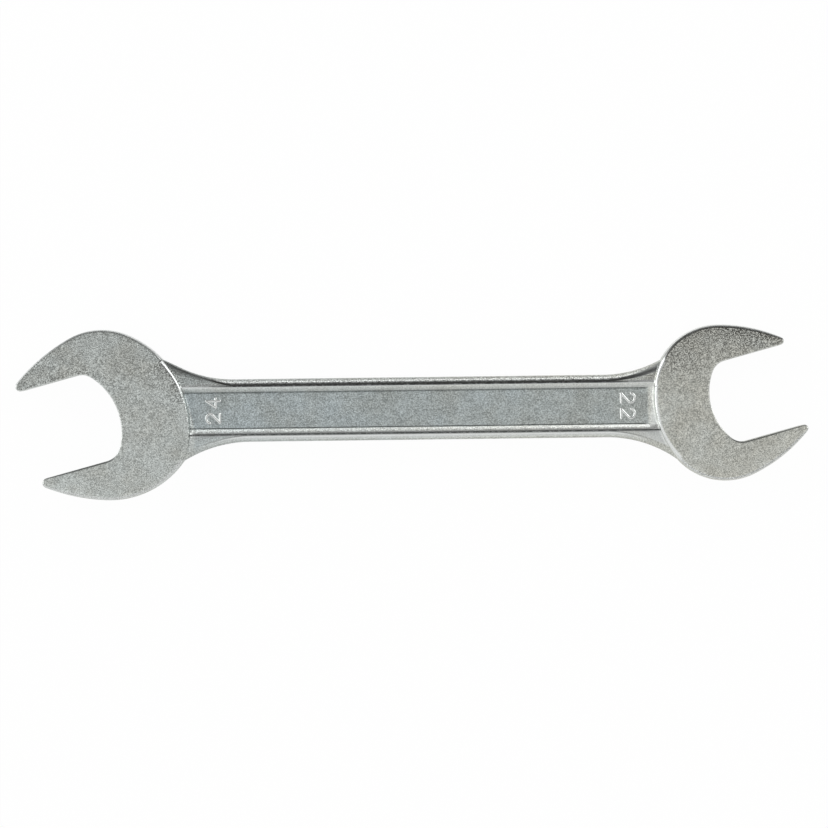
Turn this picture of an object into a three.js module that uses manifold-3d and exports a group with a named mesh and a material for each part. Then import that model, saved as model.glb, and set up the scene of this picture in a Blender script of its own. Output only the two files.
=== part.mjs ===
import * as THREE from "three";
import { mergeVertices } from "three/addons/utils/BufferGeometryUtils.js";
import Module from "manifold-3d";

// Double open end wrench, drop forged in one piece and plated, for 24 mm and 22 mm nuts.
// Sizes are in millimetres. +X runs along the handle to the 22 mm head and +Z is up.
// The wrench lies flat on its two heads, with the origin under the middle of its bounding box.
// "Centre" of a head is the middle of its greatest width. Each head has axes of its own:
// a points out of the jaw and b across it.

// Both heads
const jawAngle = THREE.MathUtils.degToRad(15);
const headCentreDistance = 163.1;
const headThickness = 8.8;
const headEdgeWidth = 0.8;
const headEdgeHeight = 1.1;
const jawChamfer = 0.35;
const throatRadiusShare = 0.72;
const cornerRadiusShare = 0.205;

// 24 mm head. Reach and throat are measured from its centre along the jaw. Its lower side is
// fuller than its upper one and ends in a small corner over the handle's lower flare, and its
// throat lies a little to that side. The shares are of half the head's width.
const acrossFlats24 = 24;
const head24Width = 45.7;
const head24BackShare = 1.195;
const head24BackShift = 2.45;
const head24Reach = 21.5;
const throat24Back = 3.2;
const throat24Shift = 1.2;
const nose24Radius = 50;
const tip24Radius = 1.3;
const shoulder24Share = 0.781;
const fullShoulder24Share = 1.05;
const fullShoulder24Back = 1.1;
const corner24Radius = 4;
const head24Offset = 0.8;
const jaw24Shift = 0.25;

// 22 mm head
const acrossFlats22 = 22;
const head22Width = 41.7;
const head22BackShare = 1.202;
const head22Reach = 20.4;
const throat22Back = 3.05;
const nose22Radius = 41;
const tip22Radius = 1.05;
const shoulder22Share = 0.8255;
const head22Offset = 0.55;
const jaw22Shift = 0.5;

// Handle, measured over its two ribs and at the flash line halfway down its side
const handleWidth = 16.6;
const ribThickness = 6.4;
const ribEdgeWidth = 1.9;
const ribEdgeHeightShare = 0.42;

// Sunk panel on each face of the handle, between the ribs
const panelWidth = 9.4;
const panelDepth = 0.9;
const panelSlope = 1.15;
const panel22Gap = 2.3;

// Flares that widen the handle into the heads. Each is an arc that starts this far from its
// head's centre, then a straight run, then a heel that rounds back into the head.
const upperFlareRadius = 32;
const upperFlareAngle = THREE.MathUtils.degToRad(26);
const upperFlareRun = 4;
const upperFlare24Start = 33.75;
const upperFlare22Start = 31.35;
const lowerFlare24Radius = 34;
const lowerFlare24Angle = THREE.MathUtils.degToRad(30);
const lowerFlare24Run = 2;
const lowerFlare24Start = 37.9;
const lowerFlare22Radius = 32;
const lowerFlare22Angle = THREE.MathUtils.degToRad(38);
const lowerFlare22Run = 0.5;
const lowerFlare22Start = 30.65;
const heelRadius = 14;

// Raised size numbers on the panels, read along the handle's end
const markHeight = 4.4;
const markWidth = 3.2;
const markStroke = 0.6;
const markRelief = 0.3;
const markPitch = 4.15;
const mark24Place = 28.2;
const mark22Place = 24.9;

// How far a cutter runs past what it cuts, and how deep a joined piece is let in
const overrun = 4;
const letIn = 0.3;

const wasm = await Module();
wasm.setup();

// A closed three.js geometry as a solid that can be joined and cut.
function solidFrom(geometry) {
  const bare = geometry.clone();
  bare.deleteAttribute("normal");
  bare.deleteAttribute("uv");
  const merged = mergeVertices(bare);
  const mesh = new wasm.Mesh({
    numProp: 3,
    vertProperties: merged.attributes.position.array,
    triVerts: new Uint32Array(merged.index.array),
  });
  return new wasm.Manifold(mesh);
}

// A solid back as a three.js geometry.
function geometryFrom(solid) {
  const mesh = solid.getMesh();
  const geometry = new THREE.BufferGeometry();
  geometry.setAttribute("position", new THREE.BufferAttribute(mesh.vertProperties, 3));
  geometry.setIndex(new THREE.BufferAttribute(mesh.triVerts, 1));
  const flat = geometry.toNonIndexed();
  flat.computeVertexNormals();
  return flat;
}

// A plate with square edges, centred on the middle plane.
function squarePlate(shape, thickness) {
  const geometry = new THREE.ExtrudeGeometry(shape, {
    depth: thickness,
    bevelEnabled: false,
    curveSegments: 6,
  });
  return geometry.translate(0, 0, -thickness / 2);
}

// A plate whose outline is its widest section and whose edges round off to both faces.
function roundedPlate(shape, thickness, edgeWidth, edgeHeight) {
  const land = thickness - 2 * edgeHeight;
  const geometry = new THREE.ExtrudeGeometry(shape, {
    depth: land,
    bevelThickness: edgeHeight,
    bevelSize: edgeWidth,
    bevelOffset: -edgeWidth,
    bevelSegments: 3,
    curveSegments: 6,
  });
  return geometry.translate(0, 0, -land / 2);
}

// A cutter that has the outline at the given depth below the face and widens on its way out.
function flaredCutter(shape, face, depth, widening) {
  const geometry = new THREE.ExtrudeGeometry(shape, {
    depth: overrun,
    bevelThickness: depth,
    bevelSize: widening,
    bevelSegments: 1,
    curveSegments: 6,
  });
  return geometry.translate(0, 0, face);
}

// The same cutter for the lower face, with the outline turned over about X.
const turnedOver = (geometry) => geometry.clone().rotateX(Math.PI);

// The point at the given distances from two others, seen to the right of the way from the first
// to the second where side is 1, and to the left where it is -1. A circle that touches two
// others from outside or inside has its centre there.
function pointBetween(first, fromFirst, second, fromSecond, side) {
  const span = second.clone().sub(first);
  const length = span.length();
  const along = (fromFirst ** 2 - fromSecond ** 2 + length ** 2) / (2 * length);
  const aside = side * Math.sqrt(Math.max(0, fromFirst ** 2 - along ** 2));
  const way = span.divideScalar(length);
  return new THREE.Vector2(
    first.x + along * way.x + aside * way.y,
    first.y + along * way.y - aside * way.x,
  );
}

const angleTo = (from, to) => Math.atan2(to.y - from.y, to.x - from.x);

// Circles that make up a head's outline: a nose, a tip and a shoulder per jaw, and the back. The
// back touches the lower shoulder, and the upper one too or a small corner circle between them.
function headCircles(head) {
  const halfWidth = head.width / 2;
  const backRadius = head.backShare * halfWidth;
  const [upper, lower] = [1, -1].map((side) => {
    const full = side > 0 && head.full;
    const radius = halfWidth * (full ? head.full.shoulderShare : head.shoulderShare);
    const shoulder = new THREE.Vector2(full ? -head.full.back : 0, side * (halfWidth - radius));
    const flat = (side * head.acrossFlats) / 2 - head.jawShift;
    const tip = new THREE.Vector2(head.reach - head.tipRadius, flat + side * head.tipRadius);
    const nose = pointBetween(
      shoulder, head.noseRadius - radius, tip, head.noseRadius - head.tipRadius, side);
    return { radius, shoulder, flat, tip, nose };
  });
  const aside = head.backShift - lower.shoulder.y;
  const backCentre = new THREE.Vector2(
    Math.sqrt(Math.max(0, (backRadius - lower.radius) ** 2 - aside ** 2)), head.backShift);
  const corner = head.full && {
    radius: head.full.cornerRadius,
    centre: pointBetween(
      backCentre, backRadius - head.full.cornerRadius,
      upper.shoulder, upper.radius - head.full.cornerRadius, 1),
  };
  return { backRadius, backCentre, corner, upper, lower };
}

// How far a head's back lies behind its centre, along the jaw.
function backOf(head) {
  const { backRadius, backCentre } = headCircles(head);
  return Math.sqrt(backRadius ** 2 - backCentre.y ** 2) - backCentre.x;
}

// A head's outline with the jaw still closed, anticlockwise from the upper jaw's tip.
function headOutline(head) {
  const { backRadius, backCentre, corner, upper, lower } = headCircles(head);
  const quarter = Math.PI / 2;
  const turn = 2 * Math.PI;
  const upperNose = angleTo(upper.nose, upper.tip);
  const upperShoulder = angleTo(upper.nose, upper.shoulder);
  const upperBack = angleTo(backCentre, corner ? corner.centre : upper.shoulder);
  const shoulderEnd = corner ? angleTo(upper.shoulder, corner.centre) : upperBack;
  const lowerBack = angleTo(backCentre, lower.shoulder) + turn;
  const lowerShoulder = angleTo(lower.nose, lower.shoulder) + turn;
  const lowerNose = angleTo(lower.nose, lower.tip) + turn;
  const shape = new THREE.Shape();
  shape.moveTo(upper.tip.x, upper.flat);
  shape.absarc(upper.tip.x, upper.tip.y, head.tipRadius, -quarter, upperNose);
  shape.absarc(upper.nose.x, upper.nose.y, head.noseRadius, upperNose, upperShoulder);
  shape.absarc(upper.shoulder.x, upper.shoulder.y, upper.radius, upperShoulder, shoulderEnd);
  if (corner) {
    shape.absarc(corner.centre.x, corner.centre.y, corner.radius, shoulderEnd, upperBack);
  }
  shape.absarc(backCentre.x, backCentre.y, backRadius, upperBack, lowerBack);
  shape.absarc(lower.shoulder.x, lower.shoulder.y, lower.radius, lowerBack, lowerShoulder);
  shape.absarc(lower.nose.x, lower.nose.y, head.noseRadius, lowerShoulder, lowerNose);
  shape.absarc(lower.tip.x, lower.tip.y, head.tipRadius, lowerNose, turn + quarter);
  return shape;
}

// The jaw's opening: two parallel flats, two small corners and a shallow round throat.
function throatOutline(head) {
  const radius = throatRadiusShare * head.acrossFlats;
  const corner = cornerRadiusShare * head.acrossFlats;
  const half = head.acrossFlats / 2;
  const middle = -head.jawShift;
  const centre = new THREE.Vector2(radius - head.throatBack, middle + head.throatShift);
  const [upper, lower] = [1, -1].map((side) => {
    const y = middle + side * (half - corner);
    const x = centre.x - Math.sqrt((radius - corner) ** 2 - (y - centre.y) ** 2);
    return new THREE.Vector2(x, y);
  });
  const mouth = head.reach + overrun;
  const turn = 2 * Math.PI;
  const upperMeet = angleTo(centre, upper);
  const lowerMeet = angleTo(centre, lower) + turn;
  const shape = new THREE.Shape();
  shape.moveTo(mouth, middle - half);
  shape.lineTo(mouth, middle + half);
  shape.absarc(upper.x, upper.y, corner, turn / 4, upperMeet);
  shape.absarc(centre.x, centre.y, radius, upperMeet, lowerMeet);
  shape.absarc(lower.x, lower.y, corner, lowerMeet, (3 * turn) / 4);
  return shape;
}

// Puts a geometry made on a head's own axes where the head lies.
function placeOnHead(geometry, head) {
  return geometry.rotateZ(head.angle).translate(head.x, head.y, 0);
}

// One head as forged, a thick plate with rounded edges and its jaw still closed.
function headSolid(head) {
  const plate = roundedPlate(headOutline(head), headThickness, headEdgeWidth, headEdgeHeight);
  return solidFrom(placeOnHead(plate, head));
}

// What is cut out of a head to open its jaw: the opening itself and a chamfer on each face.
function jawCutters(head) {
  const throat = throatOutline(head);
  const cutter = squarePlate(throat, headThickness + overrun);
  const upperChamfer = flaredCutter(throat, headThickness / 2, jawChamfer, jawChamfer);
  const lowerChamfer = upperChamfer.clone().translate(0, 0, -headThickness - overrun);
  return [cutter, upperChamfer, lowerChamfer].map((part) => solidFrom(placeOnHead(part, head)));
}

// A point on a head's axis in the wrench's axes, given how far it lies along the jaw.
function axisPoint(head, along) {
  return new THREE.Vector2(along, 0)
    .rotateAround(new THREE.Vector2(), head.angle)
    .add(new THREE.Vector2(head.x, head.y));
}

// The point that the handle reaches inside a head, in the middle of the metal behind the throat.
const rootPoint = (head) => axisPoint(head, -(backOf(head) + head.throatBack) / 2);

// One edge of the handle as it flares into a head, drawn from the handle towards the head. It
// ends in a short tail inside the head, along the handle.
function flarePoints(head, side, flare) {
  const towards = Math.sign(head.x);
  const start = head.x - towards * flare.start;
  const edge = (side * handleWidth) / 2;
  const steps = 10;
  const place = (run, rise) => new THREE.Vector2(start + towards * run, edge + side * rise);
  const points = [];
  for (let step = 0; step <= steps; step += 1) {
    const angle = (flare.angle * step) / steps;
    points.push(place(flare.radius * Math.sin(angle), flare.radius * (1 - Math.cos(angle))));
  }
  const sine = Math.sin(flare.angle);
  const cosine = Math.cos(flare.angle);
  const heelX = flare.radius * sine + flare.run * cosine;
  const heelY = flare.radius * (1 - cosine) + flare.run * sine;
  for (let step = 0; step <= steps; step += 1) {
    const angle = flare.angle * (1 - step / steps);
    const run = heelRadius * (sine - Math.sin(angle));
    const rise = heelRadius * (Math.cos(angle) - cosine);
    points.push(place(heelX + run, heelY + rise));
  }
  const tail = 2 * ribEdgeWidth;
  points.push(place(heelX + heelRadius * sine + tail, heelY + heelRadius * (1 - cosine)));
  return points;
}

// The handle: a bar with round edges that flares into the heads, with a sunk panel per face.
function handleSolid(head24, head22) {
  const outline = [
    ...flarePoints(head24, -1, head24.lowerFlare).reverse(),
    ...flarePoints(head22, -1, head22.lowerFlare),
    rootPoint(head22),
    ...flarePoints(head22, 1, head22.upperFlare).reverse(),
    ...flarePoints(head24, 1, head24.upperFlare),
    rootPoint(head24),
  ];
  const edgeHeight = ribEdgeHeightShare * ribThickness;
  const bar = roundedPlate(new THREE.Shape(outline), ribThickness, ribEdgeWidth, edgeHeight);
  const panelStart = rootPoint(head24).x;
  const panelEnd = axisPoint(head22, -backOf(head22)).x - panel22Gap;
  const half = panelWidth / 2;
  const panel = new THREE.Shape([
    new THREE.Vector2(panelStart, -half),
    new THREE.Vector2(panelEnd, -half),
    new THREE.Vector2(panelEnd, half),
    new THREE.Vector2(panelStart, half),
  ]);
  const upperPanel = flaredCutter(panel, ribThickness / 2, panelDepth, panelSlope);
  return solidFrom(bar)
    .subtract(solidFrom(upperPanel))
    .subtract(solidFrom(turnedOver(upperPanel)));
}

// Numerals as strokes. Each point is a share of the numeral's width and height from its middle.
const bowlShares = [];
for (let step = 0; step <= 6; step += 1) {
  const angle = Math.PI * (1 - step / 4.8);
  bowlShares.push([0.5 * Math.cos(angle), 0.22 + 0.28 * Math.sin(angle)]);
}
const numeralShares = {
  2: [...bowlShares, [-0.5, -0.5], [0.5, -0.5]],
  4: [[0.5, -0.2], [-0.5, -0.2], [0.2, 0.5], [0.2, -0.5]],
};

// A straight stroke with round ends, from the panel's floor up.
function strokeSolid(from, to) {
  const radius = markStroke / 2;
  const along = Math.atan2(to.y - from.y, to.x - from.x);
  const quarter = Math.PI / 2;
  const shape = new THREE.Shape();
  shape.absarc(to.x, to.y, radius, along - quarter, along + quarter);
  shape.absarc(from.x, from.y, radius, along + quarter, along + 3 * quarter);
  const geometry = new THREE.ExtrudeGeometry(shape, {
    depth: markRelief + letIn,
    bevelEnabled: false,
    curveSegments: 2,
  });
  const floor = ribThickness / 2 - panelDepth;
  return geometry.translate(0, 0, floor - letIn);
}

// A size number, with its numerals side by side and its top towards the head it belongs to.
function markStrokes(numerals, head, place) {
  const towards = Math.sign(head.x);
  const middle = head.x - towards * place;
  const width = markWidth - markStroke;
  const height = markHeight - markStroke;
  const strokes = [];
  numerals.forEach((numeral, index) => {
    const shift = (index - (numerals.length - 1) / 2) * markPitch;
    const points = numeralShares[numeral].map(([across, up]) =>
      new THREE.Vector2(middle + towards * up * height, -towards * (across * width + shift)));
    for (let i = 1; i < points.length; i += 1) {
      strokes.push(strokeSolid(points[i - 1], points[i]));
    }
  });
  return strokes;
}

const half = headCentreDistance / 2;

const head24 = {
  x: -half,
  y: -head24Offset,
  angle: jawAngle + Math.PI,
  acrossFlats: acrossFlats24,
  width: head24Width,
  backShare: head24BackShare,
  backShift: head24BackShift,
  reach: head24Reach,
  throatBack: throat24Back,
  throatShift: throat24Shift,
  noseRadius: nose24Radius,
  tipRadius: tip24Radius,
  shoulderShare: shoulder24Share,
  full: {
    shoulderShare: fullShoulder24Share,
    back: fullShoulder24Back,
    cornerRadius: corner24Radius,
  },
  jawShift: jaw24Shift,
  upperFlare: {
    radius: upperFlareRadius,
    angle: upperFlareAngle,
    run: upperFlareRun,
    start: upperFlare24Start,
  },
  lowerFlare: {
    radius: lowerFlare24Radius,
    angle: lowerFlare24Angle,
    run: lowerFlare24Run,
    start: lowerFlare24Start,
  },
};

const head22 = {
  x: half,
  y: head22Offset,
  angle: jawAngle,
  acrossFlats: acrossFlats22,
  width: head22Width,
  backShare: head22BackShare,
  backShift: 0,
  reach: head22Reach,
  throatBack: throat22Back,
  throatShift: 0,
  noseRadius: nose22Radius,
  tipRadius: tip22Radius,
  shoulderShare: shoulder22Share,
  jawShift: jaw22Shift,
  upperFlare: {
    radius: upperFlareRadius,
    angle: upperFlareAngle,
    run: upperFlareRun,
    start: upperFlare22Start,
  },
  lowerFlare: {
    radius: lowerFlare22Radius,
    angle: lowerFlare22Angle,
    run: lowerFlare22Run,
    start: lowerFlare22Start,
  },
};

// The whole forging, with its jaws cut last. The numbers stand on both faces, and read the
// right way from each.
let forging = handleSolid(head24, head22).add(headSolid(head24)).add(headSolid(head22));
for (const cutter of [...jawCutters(head24), ...jawCutters(head22)]) {
  forging = forging.subtract(cutter);
}
const marks = [
  ...markStrokes([2, 4], head24, mark24Place),
  ...markStrokes([2, 2], head22, mark22Place),
];
for (const mark of marks) {
  forging = forging.add(solidFrom(mark)).add(solidFrom(turnedOver(mark)));
}

const platedSteel = new THREE.MeshStandardMaterial({
  color: 0x9ba09d,
  metalness: 0.95,
  roughness: 0.42,
});

// Set down so that the origin is under the middle of the bounding box.
const geometry = geometryFrom(forging);
geometry.computeBoundingBox();
const box = geometry.boundingBox;
const middle = box.getCenter(new THREE.Vector3());
geometry.translate(-middle.x, -middle.y, -box.min.z);

const wrench = new THREE.Mesh(geometry, platedSteel);
wrench.name = "wrench_forging";

const group = new THREE.Group();
group.add(wrench);

export default group;
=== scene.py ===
# Open end wrench for 24 mm and 22 mm nuts: one drop forging, satin plated, lying on its heads
import math

import bpy
import numpy as np
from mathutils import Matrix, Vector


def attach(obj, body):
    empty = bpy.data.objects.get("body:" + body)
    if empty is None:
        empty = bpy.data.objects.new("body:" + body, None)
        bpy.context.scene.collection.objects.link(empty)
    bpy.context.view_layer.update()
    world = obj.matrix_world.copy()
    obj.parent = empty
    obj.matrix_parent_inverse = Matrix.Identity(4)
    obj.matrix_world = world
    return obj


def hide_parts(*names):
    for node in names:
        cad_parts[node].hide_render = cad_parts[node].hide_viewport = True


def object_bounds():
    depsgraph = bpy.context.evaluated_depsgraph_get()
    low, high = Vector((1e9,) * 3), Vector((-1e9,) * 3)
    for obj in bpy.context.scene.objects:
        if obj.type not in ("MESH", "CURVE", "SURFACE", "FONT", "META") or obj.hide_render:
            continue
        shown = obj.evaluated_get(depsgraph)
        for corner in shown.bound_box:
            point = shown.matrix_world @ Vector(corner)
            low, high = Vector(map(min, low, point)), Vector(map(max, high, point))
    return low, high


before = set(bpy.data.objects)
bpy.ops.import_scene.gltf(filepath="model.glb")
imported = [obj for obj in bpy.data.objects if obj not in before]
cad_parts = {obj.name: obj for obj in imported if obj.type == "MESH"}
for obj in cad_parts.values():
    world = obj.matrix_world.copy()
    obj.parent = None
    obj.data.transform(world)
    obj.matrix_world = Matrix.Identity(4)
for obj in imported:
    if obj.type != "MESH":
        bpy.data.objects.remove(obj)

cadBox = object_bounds()
print("frame loaded:", list(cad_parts))

# Sizes are in millimetres and angles in degrees, as on the maker's drawing.
metre = 0.001
scene = bpy.context.scene

wrench = {
    "headDistance": 163.1,        # between the middles of the two heads
    "jawAngle": 15.0,             # each jaw's turn from the handle
    "headHalf": (cadBox[1][2] - cadBox[0][2]) / metre / 2,   # half a head's thickness
    "throatShare": 0.72,          # throat radius over the jaw's width
    "cornerShare": 0.205,         # corner radius over the jaw's width
    "edgeRound": 0.6,             # rounding of the forged edges
    "edgeDraft": 0.085,           # slope of the forged sides, rise over run
    "edgeFall": (1.1, 0.11),      # width and drop of the faces' gentle fall to their outline
    "stepRound": 0.9,             # rounding over the step to the handle
    "tipRound": 0.38,             # rounding and slope at the jaws' tips
    "tipDraft": 0.05,
    "cutRound": 0.2,              # rounding of the cut jaw edges
    "cutFall": (0.45, 0.045),     # the faces' fall along the jaws
    "roundLimit": 0.94,           # the most of a side's height that its rounding takes
    "crown": 0.34,                # how far the faces fall from the jaw to their outline
    "crownAtStep": 0.1,           # the same behind the jaw, where the handle joins
    "flashHalf": 0.42,            # half height of the trimmed flash line
    "flashStep": 0.05,            # how far the flash line stands out
    "flashBlend": 0.06,           # height over which it meets the side
    "hair": 0.012,                # how far the skin stays inside the drawn outline
    "unevenness": 0.03,           # how far the forged faces wander from flat
    "waves": (4.0, 14.0, 14),     # shortest and longest of its waves, and how many there are
    "waveSum": 2.2,               # what their sum seldom passes
    "stationStep": 0.5,           # spacing of the columns round a head
    "pathStep": 0.02,             # spacing of the points on the drawn outlines
}

# Each head has its own axes, along the jaw and across it, and its shares are of half its width.
# The last lines of each tell its finish: how dark the plating is on the upper jaw, the painted
# dark reflection line and painted shade in the thin rim along the upper outline, the painted shade
# in the thin rim along the lower outline, how dark it is behind the step and along the upper flat,
# and how round and how sloped the upper rim is.
heads = {
    "24": {
        "side": -1, "acrossFlats": 24.0, "width": 45.7, "reach": 21.5, "backShare": 1.195,
        "backShift": 2.45, "throatBack": 3.2, "throatShift": 1.2, "noseRadius": 50.0,
        "tipRadius": 1.3, "shoulderShare": 0.781, "offset": -0.8, "jawShift": 0.25,
        "full": {"shoulderShare": 1.05, "back": 1.1, "cornerRadius": 4.0},
        "upperFlare": {"radius": 32.0, "angle": 26.0, "run": 4.0, "start": 33.75},
        "lowerFlare": {"radius": 34.0, "angle": 30.0, "run": 2.0, "start": 37.9},
        "dull": 0.42, "rim": 0.48, "underRim": 0.4, "stepDull": 0.75, "flatDull": 0.6,
        "rimRound": 0.36, "rimDraft": 0.035,
    },
    "22": {
        "side": 1, "acrossFlats": 22.0, "width": 41.7, "reach": 20.4, "backShare": 1.202,
        "backShift": 0.0, "throatBack": 3.05, "throatShift": 0.0, "noseRadius": 41.0,
        "tipRadius": 1.05, "shoulderShare": 0.8255, "offset": 0.55, "jawShift": 0.5,
        "upperFlare": {"radius": 32.0, "angle": 26.0, "run": 4.0, "start": 31.35},
        "lowerFlare": {"radius": 32.0, "angle": 38.0, "run": 0.5, "start": 30.65},
        "dull": 1.3, "rim": 0.88, "underRim": 0.55, "stepDull": 0.0, "flatDull": 0.3,
        "rimRound": 0.5, "rimDraft": 0.07,
    },
}

handle = {
    "halfWidth": 8.3,
    "ribHalf": 3.2,               # half the thickness over the ribs
    "panelHalf": 2.3,             # half the thickness in the sunk panel
    "panelHalfWidth": 4.8,
    "panelSlope": 1.05,           # width of the ribs' inner slopes
    "rampWidth": 2.6,             # the gentler slope that ends the panel at the 22 mm head
    "rampGap": 2.2,               # from that slope's foot to the head
    "footShare": 0.12,            # softness of the slopes' feet, as a share of their width
    "crestShare": 0.46,           # softness of the ribs' inner crests
    "edgeWidth": 1.65,            # width of the round outer edge along the handle
    "edgePower": 2.5,             # 2 rounds the outer edge as an ellipse, more makes it fuller
    "steepest": 0.95,             # the most that a flare's slope counts in that width
    "landDrop": (0.03, 0.5, 0.8), # fall of a rib's top, the width it is for and its power
    "grooveDepth": 0.06,          # fine groove along each side of the panel
    "grooveWidth": 0.16,
    "grooveInset": 0.05,          # from the slope's foot
    "grooveEnd": (-0.4, 0.1),     # where it fades before the ramp, in shares of that
    "heelRadius": 14.0,
    "footRise": 0.34,             # fillet at the foot of each head's step
    "footWidth": 0.5,
    "softRise": 0.72,             # the same fillet where the step fades out
    "softWidth": 2.8,
    "softPlaces": (2.5, -9.0),    # places across the handle between which it does
    "footHeights": (0.5, 2.2),    # heights between which the fillet grows
    "scan": (50.0, 3200),         # where the search for a head starts, and its points
    "stationStep": 0.62,          # spacing of the stations along the handle
    "endShares": (0.1, 1.0, 22),  # shares of it at each end: first, last and how many
    "endGrowth": 1.4,             # and the power that they are raised to
}


def smoothStep(low, high, value):
    # 0 at low, 1 at high, and an even S curve between them
    t = np.clip((value - low) / (high - low), 0.0, 1.0)
    return t * t * (3.0 - 2.0 * t)


def band(rising, falling, value):
    # 0 below the first span and above the second one, and 1 between them
    return smoothStep(*rising, value) * (1 - smoothStep(*falling, value))


def between(start, end, share):
    # start where the share is 0, end where it is 1, and an even way between
    return start + (end - start) * share


def arcPath(centre, radius, start, end, inward=False):
    # points at an even angle on a circle, with the way out of the metal at each
    count = max(12, int(abs(end - start) * radius / wrench["pathStep"]))
    angle = np.linspace(start, end, count)
    away = np.stack([np.cos(angle), np.sin(angle)], axis=1)
    return np.asarray(centre) + radius * away, -away if inward else away


def linePath(start, end, away):
    # points at an even distance on a straight line
    count = max(12, int(math.dist(start, end) / wrench["pathStep"]))
    t = np.linspace(0.0, 1.0, count)[:, None]
    return np.asarray(start) * (1 - t) + np.asarray(end) * t, np.tile(away, (count, 1))


def joinPaths(parts):
    # one path out of several that meet end to end, with the distance walked at each point
    points = np.concatenate([p if i == 0 else p[1:] for i, (p, _) in enumerate(parts)])
    away = np.concatenate([n if i == 0 else n[1:] for i, (_, n) in enumerate(parts)])
    steps = np.linalg.norm(np.diff(points, axis=0), axis=1)
    return {"points": points, "away": away, "walk": np.concatenate([[0.0], np.cumsum(steps)])}


def walkPath(path, walk):
    # the points and outward directions at given distances along a path
    points = np.stack([np.interp(walk, path["walk"], c) for c in path["points"].T], axis=-1)
    away = np.stack([np.interp(walk, path["walk"], c) for c in path["away"].T], axis=-1)
    return points, away / np.linalg.norm(away, axis=-1, keepdims=True)


def pointBetween(first, fromFirst, second, fromSecond, side):
    # the point at these distances from two others, to the right of the way from the first to
    # the second where side is 1; a circle that touches two others has its centre there
    span = second - first
    length = np.linalg.norm(span)
    along = (fromFirst**2 - fromSecond**2 + length**2) / (2 * length)
    aside = side * math.sqrt(max(0.0, fromFirst**2 - along**2))
    way = span / length
    return first + along * way + aside * np.array([way[1], -way[0]])


def angleTo(start, end):
    # direction from one point to another
    return math.atan2(end[1] - start[1], end[0] - start[0])


def addCircles(head):
    # the circles of a head's outline, on its own axes: a along the jaw and b across it. The
    # shares are of half its width, and the full shoulder ends in a small corner circle.
    half, turn = head["width"] / 2, 2 * math.pi
    backRadius, noseRadius = head["backShare"] * half, head["noseRadius"]
    for name, side in (("left", 1), ("right", -1)):
        full = head.get("full") if side > 0 else None
        radius = half * (full or head)["shoulderShare"]
        shoulder = np.array([-full["back"] if full else 0.0, side * (half - radius)])
        flat = side * head["acrossFlats"] / 2 - head["jawShift"]
        tip = np.array([head["reach"] - head["tipRadius"], flat + side * head["tipRadius"]])
        nose = pointBetween(shoulder, noseRadius - radius, tip,
                            noseRadius - head["tipRadius"], side)
        noseAngle = angleTo(nose, tip)
        head[name] = {"radius": radius, "shoulder": shoulder, "flat": flat, "tip": tip,
                      "nose": nose, "noseAngle": noseAngle,
                      "pole": (noseAngle - side * math.pi / 2) / 2}
    left, right = head["left"], head["right"]
    aside = head["backShift"] - right["shoulder"][1]
    backCentre = np.array([math.sqrt((backRadius - right["radius"])**2 - aside**2),
                           head["backShift"]])
    head["back"] = math.sqrt(backRadius**2 - backCentre[1]**2) - backCentre[0]
    shoulderStart = angleTo(left["nose"], left["shoulder"])
    backStart = angleTo(backCentre, left["shoulder"])
    shoulderEnd, corner = backStart, []
    if "full" in head:
        cornerRadius = head["full"]["cornerRadius"]
        middle = pointBetween(backCentre, backRadius - cornerRadius,
                              left["shoulder"], left["radius"] - cornerRadius, 1)
        backStart, shoulderEnd = angleTo(backCentre, middle), angleTo(left["shoulder"], middle)
        corner = [(middle, cornerRadius, shoulderEnd, backStart)]
    backEnd = angleTo(backCentre, right["shoulder"]) + turn
    rightStart = angleTo(right["nose"], right["shoulder"]) + turn
    head["arcs"] = [
        (left["nose"], noseRadius, left["noseAngle"], shoulderStart),
        (left["shoulder"], left["radius"], shoulderStart, shoulderEnd),
        *corner,
        (backCentre, backRadius, backStart, backEnd),
        (right["shoulder"], right["radius"], backEnd, rightStart),
        (right["nose"], noseRadius, rightStart, right["noseAngle"] + turn)]
    head["angle"] = math.radians(wrench["jawAngle"]) + (math.pi if head["side"] < 0 else 0.0)
    head["centre"] = np.array([head["side"] * wrench["headDistance"] / 2, head["offset"]])


def toWrench(head, points):
    # from a head's own axes to the wrench's
    c, s = math.cos(head["angle"]), math.sin(head["angle"])
    return points @ np.array([[c, s], [-s, c]]) + head["centre"]


def toHead(head, x, y):
    # from the wrench's axes to a head's own
    c, s = math.cos(head["angle"]), math.sin(head["angle"])
    dx, dy = x - head["centre"][0], y - head["centre"][1]
    return c * dx + s * dy, -s * dx + c * dy


def upShare(head, away):
    # how much a direction on a head's own axes points towards the wrench's upper side
    return away[:, 0] * math.sin(head["angle"]) + away[:, 1] * math.cos(head["angle"])


def outerPath(head):
    # round the back of a head, anticlockwise from one tip's pole to the other's
    left, right, turn = head["left"], head["right"], 2 * math.pi
    return joinPaths([
        arcPath(left["tip"], head["tipRadius"], left["pole"], left["noseAngle"]),
        *[arcPath(*arc) for arc in head["arcs"]],
        arcPath(right["tip"], head["tipRadius"], right["noseAngle"] + turn,
                right["pole"] + turn)])


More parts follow.
